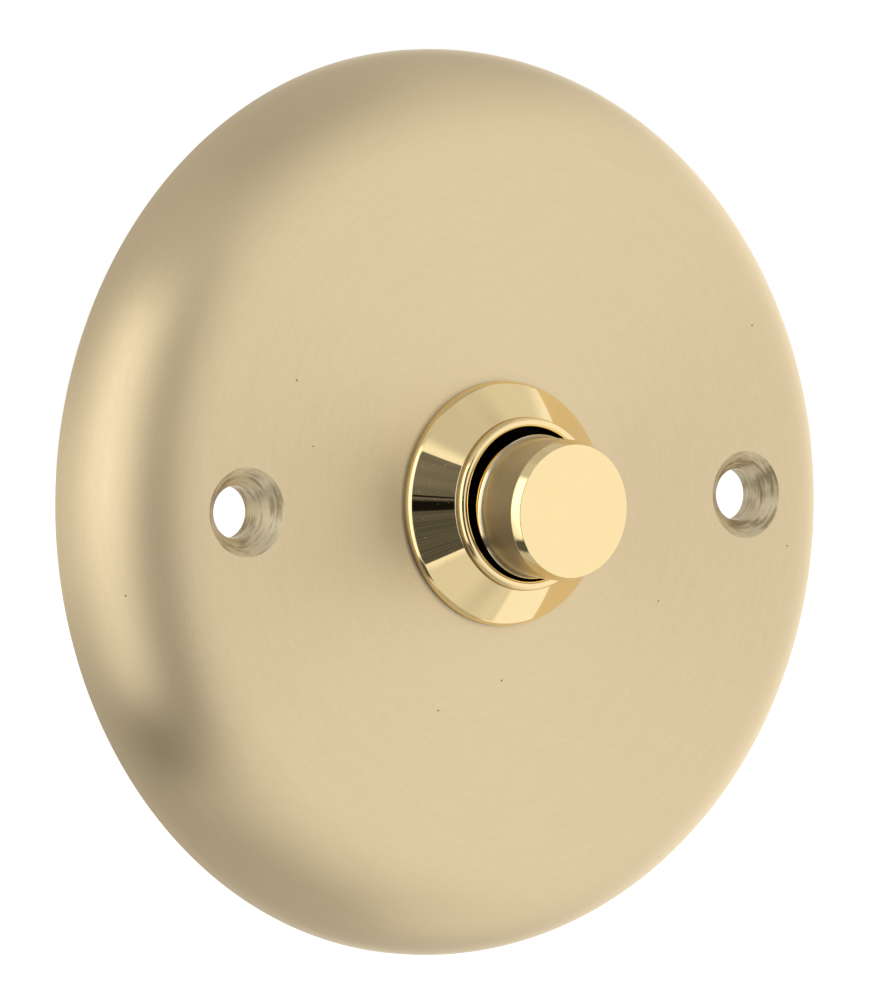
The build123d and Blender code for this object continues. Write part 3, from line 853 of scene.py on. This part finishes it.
def turned_piece(name, outline, steps, finish):
    """A piece turned from an outline of (radius, height) points in millimetres."""
    mesh = bpy.data.meshes.new(name)
    points = [(radius * MM, -height * MM, 0) for radius, height in outline]
    mesh.from_pydata(points, [(n, n + 1) for n in range(len(points) - 1)], [])
    piece = bpy.data.objects.new(name, mesh)
    bpy.context.scene.collection.objects.link(piece)
    run_tree(piece, turning, **{"Steps round": steps, "Finish": finish})
    return face_outwards(piece)


# %% [markdown]
# The plate is a dish with three stretches: a short straight edge, a quarter round and a very
# flat crown. The inside runs a wall's thickness behind it. Each stretch is an arc or a line
# that leaves where the last one ends, in the same direction, so the brushed light slides over
# it without a break.

# %% Plate blank
plate_low, plate_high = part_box("escutcheon_plate")
PLATE_RADIUS = plate_high.x / MM
PLATE_DEPTH = -plate_low.y / MM
PLATE_WALL = 3.3
EDGE_HEIGHT = 1.0
CROWN_LIFT = 0.3
FLAT_RADIUS = 18.0
RIM_BREAK = 0.25
SHANK_HOLE = 8.25
FACE_RING = 13.0
PLATE_STEPS = 384

edge_radius = PLATE_DEPTH - EDGE_HEIGHT - CROWN_LIFT
edge_centre = PLATE_RADIUS - edge_radius
crown_run = edge_centre - FLAT_RADIUS
crown_rise = PLATE_DEPTH - EDGE_HEIGHT
crown_radius = (crown_run**2 + crown_rise**2 - edge_radius**2) / (2 * CROWN_LIFT)
crown_angle = math.degrees(math.asin(crown_run / (crown_radius - edge_radius)))


def dish(inset, edge_steps, crown_steps):
    """The dish from its back to the flat of its face, a given distance inside the outside."""
    quarter = arc((edge_centre, EDGE_HEIGHT), edge_radius - inset, 0, 90 - crown_angle, edge_steps)
    crown_centre = (FLAT_RADIUS, PLATE_DEPTH - crown_radius)
    crown = arc(crown_centre, crown_radius - inset, 90 - crown_angle, 90, crown_steps)
    return [(PLATE_RADIUS - inset, RIM_BREAK)] + quarter + crown[1:]


outside = dish(inset=0, edge_steps=48, crown_steps=20)
inside = dish(inset=PLATE_WALL, edge_steps=20, crown_steps=6)
plate_back = [(PLATE_RADIUS - PLATE_WALL + RIM_BREAK, 0), (PLATE_RADIUS - RIM_BREAK, 0)]
middle = [
    (FACE_RING, PLATE_DEPTH),
    (SHANK_HOLE, PLATE_DEPTH),
    (SHANK_HOLE, PLATE_DEPTH - PLATE_WALL),
]
outline = outside + middle + inside[::-1] + plate_back + outside[:1]
plate = turned_piece("brushed_plate", outline, PLATE_STEPS, satin_brass)
print("plate blank", len(plate.data.polygons), "faces")

# %% [markdown]
# The blank is then drilled and gets its three cast bosses, all by one more tree: it sets a
# boss at each point of a circle and joins it on, then takes away the pilot holes and the two
# countersinks.

# %% Bosses and holes
HOLE_RADIUS = 2.2
SINK_RADIUS = 3.7
BOSS_RADIUS = 2.6
BOSS_ROOT = 0.5
BOSS_DRAFT = math.radians(3)
BOSS_END = 4.6
PILOT_RADIUS = 1.3
PILOT_TOP = 7.9
BOSS_CIRCLE = 14.685
BOSS_COUNT = 3
PAST = 1.0

hole_run = FIXING_SPACING / MM / 2 - FLAT_RADIUS
face_at_hole = PLATE_DEPTH - crown_radius + math.sqrt(crown_radius**2 - hole_run**2)
sink_top = face_at_hole + PAST
sink_foot = (HOLE_RADIUS, face_at_hole - (SINK_RADIUS - HOLE_RADIUS))
sink_outline = [(0, -PAST), (HOLE_RADIUS, -PAST), sink_foot, (SINK_RADIUS + PAST, sink_top), (0, sink_top)]
countersink = turned_piece("countersink", sink_outline, steps=96, finish=bored_brass)

underside = PLATE_DEPTH - PLATE_WALL
boss_foot = BOSS_RADIUS - (underside - BOSS_END) * math.tan(BOSS_DRAFT)
root_centre = (BOSS_RADIUS + BOSS_ROOT, underside - BOSS_ROOT)
root = arc(root_centre, BOSS_ROOT, start=180, end=95, steps=8)
boss_top = [(root[-1][0], underside + PAST), (0, underside + PAST)]
boss_outline = [(0, BOSS_END), (boss_foot, BOSS_END)] + root + boss_top
boss = turned_piece("boss", boss_outline, steps=72, finish=satin_brass)

pilot_foot = BOSS_END - PAST
pilot_outline = [(0, pilot_foot), (PILOT_RADIUS, pilot_foot), (PILOT_RADIUS, PILOT_TOP), (0, PILOT_TOP)]
pilot = turned_piece("pilot", pilot_outline, steps=48, finish=bored_brass)

drilling, given, result = new_tree(
    "drilling",
    ("Blank", "NodeSocketGeometry"),
    ("Boss", "NodeSocketObject"),
    ("Pilot", "NodeSocketObject"),
    ("Countersink", "NodeSocketObject"),
    ("Boss count", "NodeSocketInt"),
    ("Boss circle", "NodeSocketFloat"),
    ("Fixing spacing", "NodeSocketFloat"),
    ("Finish", "NodeSocketMaterial"),
    ("Bored finish", "NodeSocketMaterial"),
)
boss_ring = put(
    drilling,
    "GeometryNodeMeshCircle",
    Vertices=given["Boss count"],
    Radius=given["Boss circle"],
)
first_up = put(drilling, "GeometryNodeTransform", Geometry=boss_ring.outputs[0], Rotation=(0, 0, TURN / 4))
upright = put(drilling, "GeometryNodeTransform", Geometry=first_up.outputs[0], Rotation=(TURN / 4, 0, 0))
half_spacing = calc(drilling, "MULTIPLY", given["Fixing spacing"], 0.5)
left_hole = vector_of(drilling, calc(drilling, "MULTIPLY", half_spacing, -1.0), 0.0, 0.0)
right_hole = vector_of(drilling, given["Fixing spacing"], 0.0, 0.0)
hole_pair = put(drilling, "GeometryNodeMeshLine", Count=2, Start_Location=left_hole, Offset=right_hole)


def repeat(points, thing):
    """A real copy of an object at each point."""
    source = put(drilling, "GeometryNodeObjectInfo", Object=thing).outputs["Geometry"]
    copies = put(drilling, "GeometryNodeInstanceOnPoints", Points=points, Instance=source)
    return put(drilling, "GeometryNodeRealizeInstances", Geometry=copies.outputs[0]).outputs[0]


def combine(operation, first, second):
    """Joins two solids, or takes the second away from the first."""
    node = drilling.nodes.new("GeometryNodeMeshBoolean")
    node.operation = operation
    node.solver = "EXACT"
    wire(drilling, first, node.inputs["Mesh 2" if operation == "UNION" else "Mesh 1"])
    wire(drilling, second, node.inputs["Mesh 2"])
    return node.outputs[0]


solid = combine("UNION", given["Blank"], repeat(upright.outputs[0], given["Boss"]))
solid = combine("DIFFERENCE", solid, repeat(upright.outputs[0], given["Pilot"]))
solid = combine("DIFFERENCE", solid, repeat(hole_pair.outputs[0], given["Countersink"]))
real = put(drilling, "GeometryNodeRealizeInstances", Geometry=solid)
is_bored = put(drilling, "GeometryNodeMaterialSelection", Material=given["Bored finish"])
not_bored = put(drilling, "FunctionNodeBooleanMath", {"operation": "NOT"})
wire(drilling, is_bored.outputs[0], not_bored.inputs[0])
dressed = put(
    drilling,
    "GeometryNodeSetMaterial",
    Geometry=real.outputs[0],
    Selection=not_bored.outputs[0],
    Material=given["Finish"],
)
wire(drilling, dressed.outputs[0], result)

run_tree(
    plate,
    drilling,
    **{
        "Boss": boss,
        "Pilot": pilot,
        "Countersink": countersink,
        "Boss count": BOSS_COUNT,
        "Boss circle": BOSS_CIRCLE * MM,
        "Fixing spacing": FIXING_SPACING,
        "Finish": satin_brass,
        "Bored finish": bored_brass,
    },
)
face_outwards(plate)
for tool in (countersink, boss, pilot):
    bpy.data.objects.remove(tool)
print("drilled plate", len(plate.data.polygons), "faces")

# %% [markdown]
# Only the outside was brushed. Faces that lie more than a millimetre behind it, and aren't
# bored, get the cast finish: their distance from the dish's own curve tells them apart.

# %% Cast finish on the hollow side
SKIN = 1.0
HAIRSBREADTH = 0.01


def is_hollow_side(centre):
    """Whether a place on the plate lies deeper than the skin below the brushed surface."""
    across = math.hypot(centre.x, centre.z) / MM
    height = -centre.y / MM
    reach = math.hypot(max(across - edge_centre, 0), max(height - EDGE_HEIGHT, 0))
    off_back = height > HAIRSBREADTH
    off_bore = across > SHANK_HOLE + HAIRSBREADTH
    return off_back and off_bore and reach < edge_radius - SKIN


plate.data.materials.append(cast_brass)
cast_index = len(plate.data.materials) - 1
bored_index = plate.data.materials.find(bored_brass.name)
for face in plate.data.polygons:
    if face.material_index != bored_index and is_hollow_side(face.center):
        face.material_index = cast_index
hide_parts("escutcheon_plate")
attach(plate, "plate")
print("plate", len(plate.data.polygons), "faces", [finish.name for finish in plate.data.materials])

# %% [markdown]
# The bezel is turned from bar: a low upright rim, a straight cone, a raised lip, and the
# threaded shank that goes through the plate. The cone leans 40 degrees, which is just what
# turns the dark gap beside the camera towards us. The round between cone and rim and the
# round on the lip lean further, so they catch the window as two bright lines.

# %% Bezel
bezel_low, bezel_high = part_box("bezel")
BEZEL_RADIUS = bezel_high.x / MM
LIP_HEIGHT = -bezel_low.y / MM
SHANK_END = -bezel_high.y / MM
RIM_HEIGHT = 0.7
RIM_ROUND = 0.8
BEZEL_BORE = 6.4
LIP_RADIUS = 7.2
LIP_RISE = 0.85
LIP_FOOT_ROUND = 0.1
LIP_OUTER_ROUND = 0.48
LIP_INNER_ROUND = 0.28
SHOULDER = 12.826
COUNTERBORE = 7.1
SHANK_RADIUS = 8.1
SHANK_CHAMFER = 0.25
TURNED_STEPS = 256

rim_top = PLATE_DEPTH + RIM_HEIGHT
bore_foot = (BEZEL_BORE, SHOULDER)
bore_mouth = (BEZEL_BORE, LIP_HEIGHT)
lip_corner = (LIP_RADIUS, LIP_HEIGHT)
lip_foot = (LIP_RADIUS, LIP_HEIGHT - LIP_RISE)
rim_corner = (BEZEL_RADIUS, rim_top)
rim_foot = (BEZEL_RADIUS, PLATE_DEPTH)
bezel_outline = (
    [bore_foot]
    + round_corner(bore_foot, bore_mouth, lip_corner, LIP_INNER_ROUND, steps=16)
    + round_corner(bore_mouth, lip_corner, lip_foot, LIP_OUTER_ROUND, steps=20)
    + round_corner(lip_corner, lip_foot, rim_corner, LIP_FOOT_ROUND)
    + round_corner(lip_foot, rim_corner, rim_foot, RIM_ROUND, steps=16)
    + [
        rim_foot,
        (SHANK_RADIUS, PLATE_DEPTH),
        (SHANK_RADIUS, SHANK_END + SHANK_CHAMFER),
        (SHANK_RADIUS - SHANK_CHAMFER, SHANK_END),
        (COUNTERBORE, SHANK_END),
        (COUNTERBORE, SHOULDER),
        bore_foot,
    ]
)
bezel = turned_piece("polished_bezel", bezel_outline, TURNED_STEPS, polished_brass)
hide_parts("bezel")
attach(bezel, "plate")
print("bezel", len(bezel.data.polygons), "faces")

# %% [markdown]
# The button is turned too. It is loose in the bezel and hangs 3.6 degrees on its flange, so it
# is turned upright first and then tipped about the middle of the flange. Its edge has a steep
# bevel with a crisp inner line, and its collar a small one: both catch the window.

# %% Button
BUTTON_RADIUS = 5.85
COLLAR_RADIUS = 6.0
COLLAR_TOP = 15.5
COLLAR_BEVEL = 0.25
FLANGE_RADIUS = 6.8
HALF_FLANGE = 0.6
PIVOT_HEIGHT = 11.75
BUTTON_FRONT = 20.4
BEVEL_IN = 0.33
BEVEL_BACK = 0.80
EDGE_SOFTEN = 0.10
FRONT_RING = 4.0

head = (BUTTON_FRONT - PIVOT_HEIGHT) / math.cos(BUTTON_DROOP)
collar = (COLLAR_TOP - PIVOT_HEIGHT) / math.cos(BUTTON_DROOP)
bevel_foot = (BUTTON_RADIUS, head - BEVEL_BACK)
bevel_top = (BUTTON_RADIUS - BEVEL_IN, head)
flange_edge = [
    (0, -HALF_FLANGE),
    (FLANGE_RADIUS - EDGE_SOFTEN, -HALF_FLANGE),
    (FLANGE_RADIUS, EDGE_SOFTEN - HALF_FLANGE),
    (FLANGE_RADIUS, HALF_FLANGE - EDGE_SOFTEN),
    (FLANGE_RADIUS - EDGE_SOFTEN, HALF_FLANGE),
]
collar_edge = [
    (COLLAR_RADIUS, HALF_FLANGE),
    (COLLAR_RADIUS, collar - COLLAR_BEVEL),
    (BUTTON_RADIUS, collar),
]
button_outline = (
    flange_edge
    + collar_edge
    + round_corner(collar_edge[-1], bevel_foot, bevel_top, EDGE_SOFTEN)
    + round_corner(bevel_foot, bevel_top, (0, head), EDGE_SOFTEN)
    + [(FRONT_RING, head), (0, head)]
)
button = turned_piece("polished_button", button_outline, TURNED_STEPS, polished_brass)
hang = Matrix.Translation((0, -PIVOT_HEIGHT * MM, 0)) @ Matrix.Rotation(BUTTON_DROOP, 4, "X")
button.data.transform(hang)
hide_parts("button")
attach(button, "push_button")
print("button", len(button.data.polygons), "faces")

# %% [markdown]
# The return spring is a wire wound on a rule, so it is a tree as well: a spiral, a round wire
# carried along it, and both ends ground flat, which here means that no point may pass the two
# planes that the spring stands between. It shortens when the plunger is pressed, but here it
# is made at one length and doesn't follow the plunger.

# %% Return spring
SPRING_FOOT = 4.6
SPRING_HEAD = 9.45
SPRING_RADIUS = 3.95
WIRE_RADIUS = 0.35
SPRING_TURNS = 3.75
STEPS_A_TURN = 64
WIRE_STEPS = 20

winding, given, result = new_tree(
    "winding",
    ("Geometry", "NodeSocketGeometry"),
    ("Turns", "NodeSocketFloat"),
    ("Coil radius", "NodeSocketFloat"),
    ("Wire radius", "NodeSocketFloat"),
    ("Foot", "NodeSocketFloat"),
    ("Head", "NodeSocketFloat"),
    ("Finish", "NodeSocketMaterial"),
)
free_length = calc(winding, "SUBTRACT", given["Head"], given["Foot"])
spiral = put(
    winding,
    "GeometryNodeCurveSpiral",
    Resolution=STEPS_A_TURN,
    Rotations=given["Turns"],
    Start_Radius=given["Coil radius"],
    End_Radius=given["Coil radius"],
    Height=free_length,
    Reverse=True,
)
stood = put(winding, "GeometryNodeTransform", Geometry=spiral.outputs[0], Rotation=(TURN / 4, TURN / 4, 0))
foot_place = vector_of(winding, 0.0, calc(winding, "MULTIPLY", given["Foot"], -1.0), 0.0)
placed = put(winding, "GeometryNodeTransform", Geometry=stood.outputs[0], Translation=foot_place)
wire_round = put(
    winding,
    "GeometryNodeCurvePrimitiveCircle",
    Resolution=WIRE_STEPS,
    Radius=given["Wire radius"],
)
wound = put(
    winding,
    "GeometryNodeCurveToMesh",
    Curve=placed.outputs[0],
    Profile_Curve=wire_round.outputs[0],
    Fill_Caps=True,
)
x, y, z = split(winding, winding.nodes.new("GeometryNodeInputPosition").outputs[0])
below_foot = calc(winding, "MINIMUM", y, calc(winding, "MULTIPLY", given["Foot"], -1.0))
ground_flat = calc(winding, "MAXIMUM", below_foot, calc(winding, "MULTIPLY", given["Head"], -1.0))
ground_place = vector_of(winding, x, ground_flat, z)
ground = put(winding, "GeometryNodeSetPosition", Geometry=wound.outputs[0], Position=ground_place)
real = put(winding, "GeometryNodeRealizeInstances", Geometry=ground.outputs[0])
dressed = put(winding, "GeometryNodeSetMaterial", Geometry=real.outputs[0], Material=given["Finish"])
wire(winding, dressed.outputs[0], result)

spring = bpy.data.objects.new("wound_spring", bpy.data.meshes.new("wound_spring"))
bpy.context.scene.collection.objects.link(spring)
run_tree(
    spring,
    winding,
    **{
        "Turns": SPRING_TURNS,
        "Coil radius": SPRING_RADIUS * MM,
        "Wire radius": WIRE_RADIUS * MM,
        "Foot": SPRING_FOOT * MM,
        "Head": SPRING_HEAD * MM,
        "Finish": finishes["spring_steel"],
    },
)
face_outwards(spring)
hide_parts("return_spring")
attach(spring, "plate")
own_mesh(spring)

# %% [markdown]
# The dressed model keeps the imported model's size, so both boxes are written down before the
# scene is closed.

# %% Finish
visual_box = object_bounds()
for label, box in (("cad", cad_box), ("visual", visual_box)):
    print(label, "box", [[round(value, 4) for value in corner] for corner in box])
